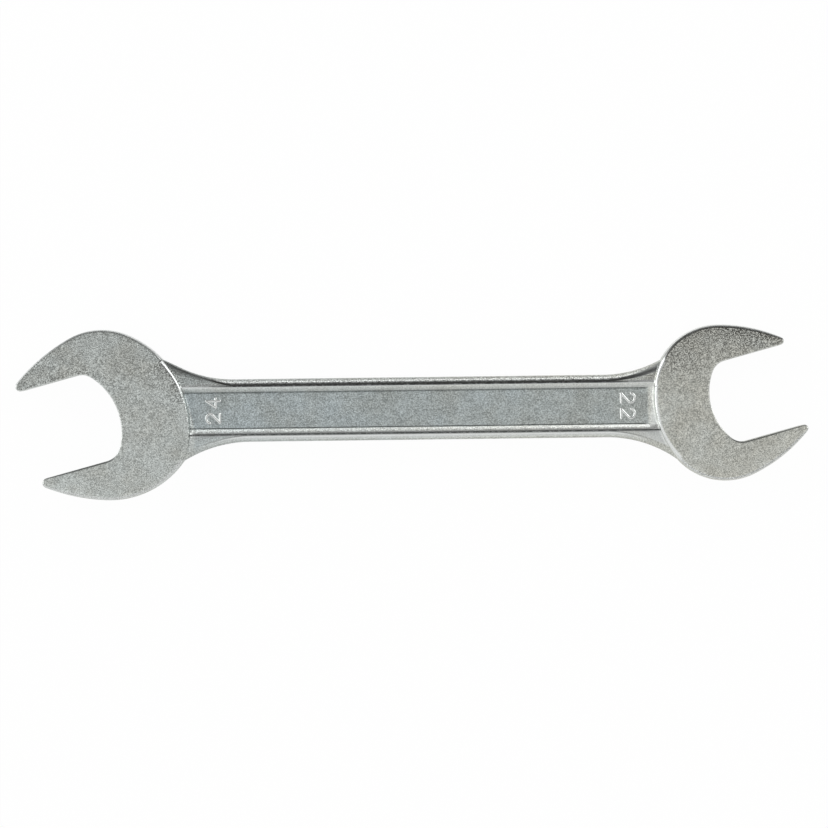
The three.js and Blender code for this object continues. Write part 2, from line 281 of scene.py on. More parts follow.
def innerPath(head):
    # along the jaw: one flat, a corner, the throat, the other corner and the other flat
    left, right = head["left"], head["right"]
    half, middle = head["acrossFlats"] / 2, -head["jawShift"]
    radius = wrench["throatShare"] * head["acrossFlats"]
    corner = wrench["cornerShare"] * head["acrossFlats"]
    centre = np.array([radius - head["throatBack"], middle + head["throatShift"]])
    leftB, rightB = middle + half - corner, middle - half + corner
    leftA = centre[0] - math.sqrt((radius - corner)**2 - (leftB - centre[1])**2)
    rightA = centre[0] - math.sqrt((radius - corner)**2 - (rightB - centre[1])**2)
    quarter, turn = math.pi / 2, 2 * math.pi
    leftMeet = angleTo(centre, (leftA, leftB))
    rightMeet = angleTo(centre, (rightA, rightB)) + turn
    return joinPaths([
        arcPath(left["tip"], head["tipRadius"], left["pole"], -quarter),
        linePath((left["tip"][0], left["flat"]), (leftA, left["flat"]), (0.0, -1.0)),
        arcPath((leftA, leftB), corner, quarter, leftMeet, inward=True),
        arcPath(centre, radius, leftMeet, rightMeet, inward=True),
        arcPath((rightA, rightB), corner, rightMeet, 3 * quarter, inward=True),
        linePath((rightA, right["flat"]), (right["tip"][0], right["flat"]), (0.0, 1.0)),
        arcPath(right["tip"], head["tipRadius"], quarter, right["pole"]),
    ])


def backDistance(head, x, y):
    # distance outside the back of a head, measured from each arc of its outline inside the
    # sector that the arc spans, and negative inside the head
    a, b = toHead(head, x, y)
    gap = np.full_like(a, -100.0)
    for centre, radius, start, end in head["arcs"][1:-1]:
        turned = (np.arctan2(b - centre[1], a - centre[0]) - start) % (2 * math.pi)
        beyond = np.hypot(a - centre[0], b - centre[1]) - radius
        gap = np.where(turned < end - start + 1e-6, np.maximum(gap, beyond), gap)
    return gap


def edgeInset(height, draft, flash):
    # how far a forged side lies inside its widest line: a trimmed flash, then an even slope
    above = np.clip(height - wrench["flashHalf"], 0.0, None)
    return (wrench["hair"] + flash * np.clip(above / wrench["flashBlend"], 0.0, 1.0)
            + draft * above)


def flareEdge(x, head, flare):
    # a handle edge's rise into a head and the sine of its slope: an arc, a straight run,
    # and a heel that rounds back along the handle
    start = head["centre"][0] - head["side"] * flare["start"]
    run = np.clip((x - start) * head["side"], 0.0, None)
    radius, heel, angle = flare["radius"], handle["heelRadius"], math.radians(flare["angle"])
    sine, cosine = math.sin(angle), math.cos(angle)
    arcEnd = radius * sine
    heelStart = arcEnd + flare["run"] * cosine
    heelRise = radius * (1 - cosine) + flare["run"] * sine
    heelSine = np.clip(sine - (run - heelStart) / heel, 0.0, sine)
    arcRise = radius - np.sqrt(np.clip(radius**2 - np.minimum(run, arcEnd)**2, 0.0, None))
    straightRise = (np.clip(run, arcEnd, heelStart) - arcEnd) * sine / cosine
    onHeel = heelRise + heel * (np.sqrt(1 - heelSine**2) - cosine)
    rise = np.where(run > heelStart, onHeel, arcRise + straightRise)
    slope = np.where(run > heelStart, heelSine, np.minimum(run / radius, sine))
    return rise, slope, run


def softRamp(t, foot, crest):
    # a straight climb from 0 to 1, with its foot and its crest rounded as parabolas
    def bend(value, soft):
        return np.where(value < -soft, 0.0,
                        np.where(value > soft, value, (value + soft)**2 / (4 * soft)))
    return bend(t, foot) - bend(t - 1.0, crest)


# The lines that run along the handle, from its lower edge to its upper one. Each carries
# its place across an edge, a rib's top or the panel, so that every crease has lines of its own.
edgeRows = np.array([(0.0, 0.0), (0.03, 0.4), (0.1, 0.47)])      # the flash: inset and height
edgeAngles = np.radians([11, 22, 33, 44, 55, 65, 73, 79, 84, 87, 89, 90])
landShares = np.array([0.9, 0.62, 0.32, 0.1, 0.03])
crestPlaces = np.array([
    6.45, 6.36, 6.27, 6.18, 6.08, 5.96, 5.82, 5.66, 5.48, 5.3, 5.12, 5.0, 4.94, 4.88, 4.81,
    4.75, 4.69, 4.63, 4.56, 4.48, 4.36, 4.1, 3.75, 3.2, 2.4, 1.5, 0.5])
edgeLines = len(edgeRows) + len(edgeAngles)
landLines = len(landShares)
halfLines = edgeLines + landLines + len(crestPlaces)

# The material reads six marks: bare cut steel, painted shade in the creases, the panel's tint,
# smooth metal with a painted sheen, painted dark reflection lines, and dull specks with painted
# shade on the rims.
markNames = ("cut", "crease", "panel", "polishAndSheen", "darkReflection", "dull")

# What the four flares and the ribs beside them have of their own: above at the 24 mm and the
# 22 mm head, then below at both. Angles go up the round edge, in radians.
flareFinish = {
    "edgeWidth": (0.38, 1.9, 1.3, 1.3),       # the round outer edge where it meets the head
    "edgeRun": (10.0, 16.0, 16.0, 16.0),      # length over which it changes to that
    "lineAngle": (1.3, 1.3, 1.4, 1.4),        # where the painted dark reflection line along the crest starts
    "lineWidens": (0.9, 0.7, 0.0, 0.0),       # and how much further down at the head
    "linePlace": (6.02, 6.02, 6.06, 6.06),    # where it ends on the crest's inner side
    "lineLost": (0.0, 0.3, 1.0, 1.0),         # share of it that is lost on the edge at the head
    "topLost": (0.85, 0.85, 0.0, 0.0),        # and on the top
    "fringe": (0.75, 0.0, 0.0, 0.0),          # the line again, on the top beside the edge
    "shineLost": (0.0, 0.0, 1.0, 1.0),        # share of the edge's shine that is lost
    "topShine": (0.0, 0.0, 0.15, 0.8),        # the flares' tops: shine, tint and dull specks
    "topTint": (0.0, 0.0, 0.4, 0.3),
    "topDull": (0.45, 0.45, 0.0, 0.0),
    "ribTint": (0.35, 0.1, 0.35, 0.1),        # what the ribs share of the panel's tint
    "slopeDull": (0.0, 0.0, 0.3, 0.3),        # specks on the ribs' inner slopes
    "crease": (0.85, 0.85, 1.2, 1.2),         # how dark the painted shade in the panel's grooves is
}

# Where a rib's finish changes: in radians up its round edge, in mm outwards over its top, or
# in mm from the middle of the handle on its inner side
ribFinish = {
    "lineSoft": (0.2, 0.28),      # softness of the painted dark reflection line, up the edge and on the inner side
    "lineTop": (0.05, 0.4),       # its end on the top
    "edgeShine": (0.5, 1.3),
    "topShine": (0.1, 0.5),
    "innerShine": (5.7, 6.25),
    "slope": ((4.75, 5.0), (5.7, 5.9)),       # start and end of the bright inner slope
    "slopeShine": (0.35, 0.65),   # its shine, and that near the 22 mm head
    "slopeRun": (0, 60),          # and between which places along the handle it changes
    "tintClimb": (-0.1, 0.25),    # the panel's tint ends on the slope, in shares of it
    "ramp": ((0.0, 0.6), (0.3, -0.2)),        # the ramp's start and sides, in shares too
    "rampShine": 0.4,
    "rampTint": 0.3,
    "upperSpecks": (0.1, 0.4),    # painted shade in specks on the upper edge
    "upperShade": (0.75, 0.7),     # how many, and the share that is lost at the heads
    "lowerSpecks": ((0.1, 0.3), (0.6, 0.9)),  # and on the lower edge
    "lowerShade": 0.35,
    "foot": (0.0, 0.12),          # rise of the fillet at a head over which it takes its finish
    "footTintLost": 0.8,
    "footDull": 0.6,              # at the 24 mm head
    "footPlaces": (-7.0, -3.0),   # and only above these places across the handle
}


def handleSurface(x, line):
    # place across the handle, height and marks, for each x on each of the lines
    side = np.where(line < halfLines, -1.0, 1.0)
    index = np.where(line < halfLines, line, 2 * halfLines - 1 - line)
    zone = np.where(index < edgeLines, 0, np.where(index < edgeLines + landLines, 1, 2))
    nearest = 2 * (side < 0) + (x >= 0)
    own = {name: np.choose(nearest, values) for name, values in flareFinish.items()}

    def byZone(onEdge, onTop, inPanel):
        return np.choose(zone, (onEdge, onTop, inPanel))

    flares = 0.0
    for head in heads.values():
        for way, name in ((1.0, "upperFlare"), (-1.0, "lowerFlare")):
            flares = flares + np.where(side == way, flareEdge(x, head, head[name]), 0.0)
    rise, slope, run = flares
    edge = handle["halfWidth"] + rise
    cosine = np.sqrt(1 - np.clip(slope, 0.0, handle["steepest"])**2)
    atHead = smoothStep(0.0, own["edgeRun"], run)
    width = between(handle["edgeWidth"], own["edgeWidth"], atHead)
    landStart = edge - (width + edgeRows[-1, 0]) / cosine
    landWidth = np.clip(landStart - crestPlaces[0], 0.01, None)
    drop, dropWidth, dropPower = handle["landDrop"]
    drop = drop * (landWidth / dropWidth)**dropPower
    ribHalf = handle["ribHalf"]

    # the round outer edge above the flash line: a quarter of an ellipse with its power raised
    k = np.clip(index, 0, edgeLines - 1)
    flashRows = np.concatenate([edgeRows, np.zeros((len(edgeAngles), 2))])
    flashInset, flashHeight = np.moveaxis(flashRows[k], -1, 0)
    angle = np.concatenate([np.zeros(len(edgeRows)), edgeAngles])[k]
    onRound = k >= len(edgeRows)
    power = 2 / handle["edgePower"]
    outwards, upwards = np.abs(np.cos(angle))**power, np.sin(angle)**power
    inset = np.where(onRound, edgeRows[-1, 0] + width * (1 - outwards), flashInset)
    edgeHeight = np.where(
        onRound, between(edgeRows[-1, 1], ribHalf - drop, upwards), flashHeight)

    # a rib's top, which falls away outwards by the square of its share, most in the flares
    share = landShares[np.clip(index - edgeLines, 0, landLines - 1)]
    landPlace = between(crestPlaces[0], landStart, share)
    landHeight = ribHalf - drop * share**2

    # the panel: its floor, its fine side grooves and the slopes that climb out of it
    place = crestPlaces[np.clip(index - edgeLines - landLines, 0, len(crestPlaces) - 1)]
    rampStart = (toWrench(heads["22"], np.array([[-heads["22"]["back"], 0.0]]))[0, 0]
                 - handle["rampGap"])
    across = (place - handle["panelHalfWidth"]) / handle["panelSlope"]
    along = (x - rampStart) / handle["rampWidth"]
    both = (across > 0) & (along > 0)
    climb = np.where(both, np.hypot(across, along), np.maximum(across, along))
    depth = ribHalf - handle["panelHalf"]
    inGroove = (place - handle["panelHalfWidth"] + handle["grooveInset"]) / handle["grooveWidth"]
    groove = handle["grooveDepth"] * np.exp(-inGroove**2)
    groove = groove * (1 - smoothStep(*handle["grooveEnd"], along))
    panelHeight = (handle["panelHalf"] - groove
                   + depth * softRamp(climb, handle["footShare"], handle["crestShare"]))

    # the finish: the painted dark reflection line along each crest widens over the upper edge
    # where this flares and leaves the lower one
    fromCrest = share * landWidth
    lineAngle = own["lineAngle"] - own["lineWidens"] * atHead
    lineLeft = 1 - own["topLost"] * atHead
    fringe = np.where(share > landShares[1], own["fringe"] * atHead, 0.0)
    edgeSoft, innerSoft = ribFinish["lineSoft"]
    onSlope = band(*ribFinish["slope"], place)
    slopeShine = between(*ribFinish["slopeShine"], smoothStep(*ribFinish["slopeRun"], x))
    rampStarts, rampSides = ribFinish["ramp"]
    onRamp = smoothStep(*rampStarts, along) * smoothStep(*rampSides, across)
    tint = own["ribTint"]
    specks, specksLost = ribFinish["upperShade"]
    upperSpecks = specks * smoothStep(*ribFinish["upperSpecks"], angle) * (1 - specksLost * atHead)
    lowerSpecks = ribFinish["lowerShade"] * band(*ribFinish["lowerSpecks"], angle)
    # these marks paint light and shade: shade in the grooves, a dark reflection line along the
    # crests, shade in specks on the edges, and a lighter sheen with the shine
    marks = {
        "darkReflection": byZone(
            smoothStep(lineAngle, lineAngle + edgeSoft, angle) * (1 - own["lineLost"] * atHead),
            np.maximum(lineLeft * (1 - smoothStep(*ribFinish["lineTop"], fromCrest)), fringe),
            lineLeft * smoothStep(own["linePlace"], own["linePlace"] + innerSoft, place)),
        "crease": byZone(0.0, 0.0, groove / handle["grooveDepth"]) * own["crease"],
        "panel": byZone(
            tint, tint + own["topTint"] * atHead,
            1 - (1 - tint) * smoothStep(*ribFinish["tintClimb"], climb)
            + ribFinish["rampTint"] * onRamp),
        "dull": byZone(
            np.where(side > 0, upperSpecks, lowerSpecks), own["topDull"] * atHead,
            own["slopeDull"] * onSlope),
        "polishAndSheen": byZone(
            smoothStep(*ribFinish["edgeShine"], angle) * (1 - own["shineLost"] * atHead),
            np.maximum(1 - smoothStep(*ribFinish["topShine"], fromCrest),
                       own["topShine"] * atHead),
            smoothStep(*ribFinish["innerShine"], place) + slopeShine * onSlope
            + ribFinish["rampShine"] * onRamp)}
    y = byZone(edge - inset / cosine, landPlace, place)
    return side * y, byZone(edgeHeight, landHeight, panelHeight), marks


def footFillet(head, y, z):
    # rise and width of the fillet where the handle meets a head's step: small where the step
    # is crisp, wide where it fades, and gone at the flash line
    soft = smoothStep(*handle["softPlaces"], y) if head["side"] < 0 else np.zeros_like(y)
    share = smoothStep(*handle["footHeights"], z)
    rise = between(handle["footRise"], handle["softRise"], soft)
    width = between(handle["footWidth"], handle["softWidth"], soft)
    return rise * share, width * np.clip(share, 0.05, 1.0)


def wallGap(head, x, y, z):
    # distance from a point of the handle to the drafted side of a head, at the fillet's top
    rise, _ = footFillet(head, y, z)
    inset = edgeInset(z + rise, wrench["edgeDraft"], wrench["flashStep"])
    return backDistance(head, x, y) + inset


def handleEnds(head, lines):
    # where each line of the handle first meets a head, found on a fine scan and then between
    # the two points that straddle it
    start, count = handle["scan"]
    x = np.linspace(head["side"] * start, head["centre"][0], count) + 0 * lines[:, None]
    y, z, _ = handleSurface(x, lines[:, None] + np.zeros_like(x, dtype=int))
    gap = wallGap(head, x, y, z)
    first = np.argmax(gap < 0, axis=1)
    rows = np.arange(len(lines))
    g0, g1 = gap[rows, first - 1], gap[rows, first]
    x0, x1 = x[rows, first - 1], x[rows, first]
    return x0 + (x1 - x0) * g0 / (g0 - g1)


def handleGrid():
    # the handle's upper face: stations along it, finer at both ends, by lines across it
    lines = np.arange(2 * halfLines)
    start, end = handleEnds(heads["24"], lines), handleEnds(heads["22"], lines)
    span = float(np.mean(end - start))
    growth = np.linspace(*handle["endShares"])**handle["endGrowth"]
    fine = np.concatenate([[0.0], np.cumsum(handle["stationStep"] * growth)])
    middle = int((span - 2 * fine[-1]) / handle["stationStep"])
    inner = np.linspace(fine[-1], span - fine[-1], middle + 1)[1:-1]
    share = np.concatenate([fine, inner, (span - fine)[::-1]]) / span
    x = start[None, :] + (end - start)[None, :] * share[:, None]
    y, z, marks = handleSurface(x, lines[None, :] + np.zeros_like(x, dtype=int))
    lift = np.zeros_like(z)
    for head in heads.values():
        rise, width = footFillet(head, y, z)
        gap = np.clip(wallGap(head, x, y, z), 0.0, None)
        near = np.clip(1 - gap / width, 0.0, 1.0)
        lift = np.maximum(lift, rise * (1 - np.sqrt(1 - near**2)))
    atFoot = smoothStep(*ribFinish["foot"], lift)
    marks["panel"] = marks["panel"] * (1 - ribFinish["footTintLost"] * atFoot)
    marks["dull"] = marks["dull"] + (ribFinish["footDull"] * atFoot * (x < 0)
                                     * smoothStep(*ribFinish["footPlaces"], y))
    return {"x": x, "y": y, "z": z + lift, "cut": np.zeros_like(z), **marks}


def stationWalks(head, outer, feet):
    # distances along the outer path of all the columns: even steps to the handle, one column
    # for each of the handle's lines, no two at one place, and even steps to the other tip
    local = np.stack(toHead(head, *feet.T), axis=1)
    points, walks = outer["points"][::4], outer["walk"][::4]
    nearest = np.argmin(np.linalg.norm(points[None, :] - local[:, None], axis=2), axis=1)
    walk = np.maximum.accumulate(walks[nearest] + np.arange(len(local)) * 1e-4)
    length, step = outer["walk"][-1], wrench["stationStep"]
    before = np.linspace(0.0, walk[0], int(walk[0] / step) + 2)[:-1]
    after = np.linspace(walk[-1], length, int((length - walk[-1]) / step) + 2)[1:]
    return np.concatenate([before, walk, after]), len(before)


# The rows and columns of a head's grid, and where things change round it
wallShares = np.array([0.0, 0.107, 0.122, 0.4, 0.7, 1.0])             # up the drafted side
roundShares = np.array([0.2, 0.4, 0.58, 0.74, 0.88, 1.0])             # round its upper edge
nearEdge = np.array([0.1, 0.22, 0.36, 0.52, 0.7, 0.92, 1.2, 1.7, 2.5])    # mm in from an edge
nearLimit = 0.17                  # the most of a narrow face's span that one mm of these takes
middleShares = np.array([0.14, 0.32, 0.5, 0.68, 0.86])                # between those
throatShares = ((0.08, 0.3), (0.7, 0.92))     # of the way round, where the jaw's pace changes

headChanges = {                   # where each change starts, and where it ends
    "tipShape": (1.0, 5.0),       # mm from a tip: its rounding and slope end
    "tipSize": (0.0, 7.0),        # the tips have room for smaller falls only
    "tipCut": (0.15, 2.4),        # the bare cut metal of the jaw starts
    "tipDull": (26.0, 8.0),       # dull specks grow towards the tip
    "stepRound": (3.0, 0.0),      # mm from the step: its rounding starts
    "stepCrown": (0.0, 14.0),     # its flatter crown ends
    "stepRim": (0.1, 1.5),        # the rim starts at the 22 mm head
    "stepUnder": (0.0, 1.2),      # the lower rim starts
    "lowFoot": (2.7, 1.9),        # mm up to the handle's low edge, where the rim crosses it
    "softStep": (7.0, 3.2),       # mm across the handle, where the 24 mm step's edge goes matt
    "behindStep": (0.5, 4.5),     # and where the face behind it gets dull
    "upperOutline": (-0.1, 0.8),  # how much the outline points up, from -1 to 1
    "lowerOutline": (0.1, -0.6),
    "upperFlat": (-0.5, -0.9),
    "lowerFlat": (0.6, 0.9),
}

headFinish = {
    "jawShine": 0.4,              # smooth rounding of the cut jaws
    "jawLine": 0.8,               # painted dark reflection line along the lower flat
    "rimShine": 0.8,              # smooth side under the upper rim
    "rimShade": 0.5,               # the rim's share of the upper jaw's darkness, as painted shade
    "dullInside": 0.6,            # share of that away from the tips
    "softDull": 0.45,             # specks where the step goes matt
    "lowLine": 0.4,               # more of the rim's painted dark reflection line over the low edge of the handle
    "dullPowers": (0.7, 8, 6),    # how the upper jaw's, the step's and the flat's dullness
                                  # grow over the face towards their edge
}


def innerWalks(walk, outerLength, innerLength):
    # matching distances along the jaw: as far from a tip on both sides, closer at the throat
    fine = np.linspace(0.0, 1.0, 2001)
    weight = band(*throatShares, fine)
    total = weight.mean() * outerLength
    pace = 1 - weight * (outerLength - innerLength) / total
    reached = np.concatenate([[0.0], np.cumsum((pace[1:] + pace[:-1]) / 2 * np.diff(fine))])
    reached *= innerLength / reached[-1]
    return np.interp(walk / outerLength, fine, reached)


def sideColumns(points, away, bottom, rounding, fall, drop, draft, flash):
    # each column of a head's side, from its bottom to the edge of the face: up the drafted
    # wall, then round an arc that ends at the tilt of the face's own fall
    end = math.pi / 2 - math.atan(2 * fall[1] / fall[0])
    roundAngles = roundShares * end
    edgeHeight = wrench["headHalf"] - drop
    limit = wrench["roundLimit"] * (edgeHeight - bottom) / math.sin(end)
    rounding = np.minimum(rounding, limit)[:, None]
    top = edgeHeight - rounding[:, 0] * math.sin(end)
    wallHeight = bottom[:, None] + (top - bottom)[:, None] * wallShares[None, :]
    wallInset = edgeInset(wallHeight, draft[:, None], flash[:, None])
    roundHeight = top[:, None] + rounding * np.sin(roundAngles)[None, :]
    roundInset = wallInset[:, -1:] + rounding * (1 - np.cos(roundAngles))[None, :]
    height = np.concatenate([wallHeight, roundHeight], axis=1)
    inset = np.concatenate([wallInset, roundInset], axis=1)
    place = points[:, None, :] - away[:, None, :] * inset[:, :, None]
    return place[..., 0], place[..., 1], height


def faceRows(inner, outer, size, crown):
    # the rows of a head's face between its two edges: close to each edge at set distances, and
    # the height there, which falls gently to both
    span = np.maximum(np.hypot(outer[0] - inner[0], outer[1] - inner[1]), 1e-6)[:, None]
    size = np.maximum(size, 1e-3)[:, None]
    close = nearEdge[None, :] * np.minimum(size / span, nearLimit)
    reach = close[:, -1:]
    inside = reach + (1 - 2 * reach) * middleShares[None, :]
    share = np.concatenate([close, inside, 1 - close[:, ::-1]], axis=1)
    x = inner[0][:, None] * (1 - share) + outer[0][:, None] * share
    y = inner[1][:, None] * (1 - share) + outer[1][:, None] * share
    z = wrench["headHalf"] - crown[:, None] * share**2
    for away, fall in ((share, wrench["cutFall"]), (1 - share, wrench["edgeFall"])):
        z = z - fall[1] * size * np.clip(1 - away * span / (fall[0] * size), 0.0, 1.0)**2
    return x, y, z, share


def headGrid(head, grid):
    # a head's upper half: columns from one tip to the other by rows that run up the jaw's
    # side, over the face and down the outside
    outer, inner = outerPath(head), innerPath(head)
    at24 = head["side"] < 0
    end, order = (0, slice(None)) if at24 else (-1, slice(None, None, -1))
    feet = np.stack([grid["x"][end], grid["y"][end]], axis=1)[order]
    walk, first = stationWalks(head, outer, feet)
    last = first + len(feet)
    onStep = np.zeros(len(walk), dtype=bool)
    onStep[first:last] = True
    bottom = np.zeros(len(walk))
    bottom[first:last] = grid["z"][end][order]
    toTip = np.minimum(walk, outer["walk"][-1] - walk)
    toStep = np.maximum(walk[first] - walk, walk - walk[last - 1])

    def change(name, value):
        return smoothStep(*headChanges[name], value)

    # the rim runs along the upper outline, up to the step and over the handle's low edge there
    points, away = walkPath(outer, walk)
    upwards = upShare(head, away)
    facing = change("upperOutline", upwards)
    low = onStep * at24 * (upwards > 0) * change("lowFoot", bottom)
    beside = 1.0 - onStep if at24 else change("stepRim", toStep)
    rim = facing * np.maximum(beside, low)
    shape, size = change("tipShape", toTip), change("tipSize", toTip)
    rounding = between(wrench["tipRound"], wrench["edgeRound"], shape)
    rounding += (wrench["stepRound"] - wrench["edgeRound"]) * change("stepRound", toStep)
    rounding += (head["rimRound"] - wrench["edgeRound"]) * rim * shape
    draft = between(wrench["tipDraft"], wrench["edgeDraft"], shape)
    draft += (head["rimDraft"] - wrench["edgeDraft"]) * rim * shape
    flash = np.full(len(walk), wrench["flashStep"])
    crown = size * between(wrench["crownAtStep"], wrench["crown"], change("stepCrown", toStep))
    fall, cutFall = wrench["edgeFall"], wrench["cutFall"]
    ox, oy, oz = sideColumns(points, away, bottom, rounding, fall, fall[1] * size + crown,
                             draft, flash)

    # the jaw's side, whose cut starts behind the tips
    innerWalk = innerWalks(walk, outer["walk"][-1], inner["walk"][-1])
    points, away = walkPath(inner, innerWalk)
    jawUpwards = upShare(head, away)
    cut = change("tipCut", np.minimum(innerWalk, inner["walk"][-1] - innerWalk))
    cutRounding = between(wrench["tipRound"], wrench["cutRound"], cut)
    ix, iy, iz = sideColumns(points, away, np.zeros(len(walk)), cutRounding, cutFall,
                             cutFall[1] * size, wrench["tipDraft"] * (1 - cut),
                             wrench["flashStep"] * (1 - cut))
    fx, fy, fz, share = faceRows((ix[:, -1], iy[:, -1]), (ox[:, -1], oy[:, -1]), size, crown)
    a = np.concatenate([ix, fx, ox[:, ::-1]], axis=1)
    b = np.concatenate([iy, fy, oy[:, ::-1]], axis=1)
    z = np.concatenate([iz, fz, oz[:, ::-1]], axis=1)
    place = toWrench(head, np.stack([a, b], axis=-1).reshape(-1, 2)).reshape(*a.shape, 2)
    x, y = place[..., 0].copy(), place[..., 1].copy()
    x[first:last, -1], y[first:last, -1] = feet.T

    # the marks, by rows: the jaw's side and rounding, the face, the outer rounding and side
    wallRows, jawEnd = len(wallShares), ix.shape[1]
    faceEnd = jawEnd + fx.shape[1]
    sideStart = a.shape[1] - wallRows
    soft = np.maximum(change("softStep", y[:, -1]) * onStep * at24, low)
    near = head["dull"] * between(headFinish["dullInside"], 1.0, change("tipDull", toTip)) * facing
    behind = head["stepDull"] * onStep * change("behindStep", y[:, -1])
    flat = head["flatDull"] * change("upperFlat", jawUpwards)
    under = head["underRim"] * change("lowerOutline", upwards) * change("stepUnder", toStep)
    nearPower, behindPower, flatPower = headFinish["dullPowers"]
    marks = {name: np.zeros_like(z) for name in markNames}

    def paint(name, start, end, values):
        # one value for each column over these rows, or one for each point of them
        marks[name][:, start:end] = np.reshape(values, (len(walk), -1))

    paint("cut", 0, jawEnd - 1, cut)
    # the shine marks: glossier metal, also painted with a lighter sheen
    paint("polishAndSheen", wallRows, jawEnd + 1, np.full(len(walk), headFinish["jawShine"]))
    paint("polishAndSheen", faceEnd - 2, faceEnd, onStep * (1 - soft))
    paint("polishAndSheen", faceEnd, sideStart, 1 - soft)
    paint("polishAndSheen", sideStart, None, headFinish["rimShine"] * rim)
    paint("dull", jawEnd, faceEnd, near[:, None] * share**nearPower
          + behind[:, None] * share**behindPower + flat[:, None] * (1 - share)**flatPower)
    # painted shade on the rims of the upper and the lower outline, and specks where the step goes
    # matt
    paint("dull", faceEnd, sideStart, headFinish["rimShade"] * head["dull"] * rim
          + (under + headFinish["softDull"] * soft))
    # painted dark reflection lines: along the upper rim, and along the lower flat's edge
    paint("darkReflection", faceEnd - 2, sideStart, head["rim"] * rim + headFinish["lowLine"] * low)
    paint("darkReflection", wallRows, jawEnd + 2, headFinish["jawLine"] * change("lowerFlat", jawUpwards))
    return {"x": x, "y": y, "z": z, **marks}


def wander(x, y, seed):
    # slow unevenness of the forged faces: a sum of sine waves of several lengths
    draw = np.random.default_rng(seed)
    total = np.zeros_like(x)
    for length in np.geomspace(*wrench["waves"]):
        turn, phase = draw.uniform(0, 2 * math.pi, 2)
        wave = (x * math.cos(turn) + y * math.sin(turn)) * 2 * math.pi / length
        total += np.sin(wave + phase) * length / wrench["waves"][1]
    return np.clip(total / wrench["waveSum"], -1.0, 1.0)


def gridFaces(rows, columns, start):
    # four-cornered faces between neighbouring rows and columns
    index = start + np.arange(rows * columns).reshape(rows, columns)
    return np.stack([index[:-1, :-1], index[1:, :-1], index[1:, 1:], index[:-1, 1:]],
                    axis=-1).reshape(-1, 4)


def faceNormals(points, faces):
    # cross product of each face's diagonals
    return np.cross(points[faces[:, 2]] - points[faces[:, 0]],
                    points[faces[:, 3]] - points[faces[:, 1]])


def closedMesh(name, points, faces, marks):
    # joins points that coincide, drops what has no area, and stores one value per mark
    _, firstSeen, index = np.unique(np.round(points, 4), axis=0, return_index=True,
                                    return_inverse=True)
    points, faces = points[firstSeen], index.reshape(-1)[faces]
    same = faces == np.roll(faces, -1, axis=1)
    quads = faces[same.sum(axis=1) == 0]
    shrunk = faces[same.sum(axis=1) == 1]
    gone = np.argmax(shrunk == np.roll(shrunk, -1, axis=1), axis=1)
    keep = np.arange(4)[None, :] != gone[:, None]
    triangles = shrunk[keep].reshape(-1, 3)
    loops = np.concatenate([quads.reshape(-1), triangles.reshape(-1)])
    totals = np.concatenate([np.full(len(quads), 4), np.full(len(triangles), 3)])
    mesh = bpy.data.meshes.new(name)
    mesh.vertices.add(len(points))
    mesh.vertices.foreach_set("co", (points * metre).astype(np.float32).reshape(-1))
    mesh.loops.add(len(loops))
    mesh.loops.foreach_set("vertex_index", loops.astype(np.int32))
    mesh.polygons.add(len(totals))
    mesh.polygons.foreach_set("loop_start", np.concatenate([[0], np.cumsum(totals)[:-1]]))
    mesh.polygons.foreach_set("use_smooth", np.ones(len(totals), dtype=bool))
    mesh.update(calc_edges=True)
    for mark, values in marks.items():
        layer = mesh.attributes.new(mark, "FLOAT", "POINT")
        layer.data.foreach_set("value", values[firstSeen].astype(np.float32))
    mesh.validate()
    edges = np.sort(np.concatenate([
        np.stack([quads, np.roll(quads, -1, axis=1)], axis=-1).reshape(-1, 2),
        np.stack([triangles, np.roll(triangles, -1, axis=1)], axis=-1).reshape(-1, 2)]), axis=1)
    _, uses = np.unique(edges, axis=0, return_counts=True)
    print(name, "points", len(points), "triangles", 2 * len(quads) + len(triangles),
          "edges not shared by two faces", int((uses != 2).sum()))
    thing = bpy.data.objects.new(name, mesh)
    scene.collection.objects.link(thing)
    return thing


def wrenchMesh():
    # both faces of the wrench out of the same grids, with an unevenness of their own
    grid = handleGrid()
    blocks = [grid] + [headGrid(head, grid) for head in heads.values()]
    lowest = np.min([[b["x"].min(), b["y"].min()] for b in blocks], axis=0)
    highest = np.max([[b["x"].max(), b["y"].max()] for b in blocks], axis=0)
    middle = (lowest + highest) / 2
    half = wrench["headHalf"]
    points, faces, start = [], [], 0
    marks = {mark: [] for mark in markNames}
    for way, seed in ((1.0, 7), (-1.0, 8)):
        for block in blocks:
            x, y, z = block["x"] - middle[0], block["y"] - middle[1], block["z"]
            uneven = wrench["unevenness"] * wander(x, y, seed)
            z = half + way * (z - (uneven + wrench["unevenness"]) * (z / half)**2)
            p = np.stack([x, y, z], axis=-1).reshape(-1, 3)
            f = gridFaces(*x.shape, 0)
            if faceNormals(p, f)[:, 2].sum() * way < 0:
                f = f[:, ::-1]
            points.append(p)
            faces.append(f + start)
            for mark in marks:
                marks[mark].append(block[mark].reshape(-1))
            start += len(p)
    points, faces = np.concatenate(points), np.concatenate(faces)
    marks = {mark: np.concatenate(values) for mark, values in marks.items()}
    return closedMesh("forged_wrench", points, faces, marks), middle


for head in heads.values():
    addCircles(head)
forging, middle = wrenchMesh()
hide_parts("wrench_forging")
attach(forging, "root")
print("forging made")


# Raised size numbers, read along the end of the handle
marking = {
    "height": 4.4,
    "width": 3.2,
    "stroke": 0.78,               # width of a stroke at its foot
    "relief": 0.29,               # how far it stands out of the panel
    "sunk": 0.02,                 # how deep its middle line lies in the panel
    "pitch": 4.15,
    "places": {"24": 28.2, "22": 24.9},     # from a head's middle to its number
    "stationStep": 0.16,          # spacing of the rings along a stroke
    "endRings": 6,
    "sides": 12,                  # of a ring
}


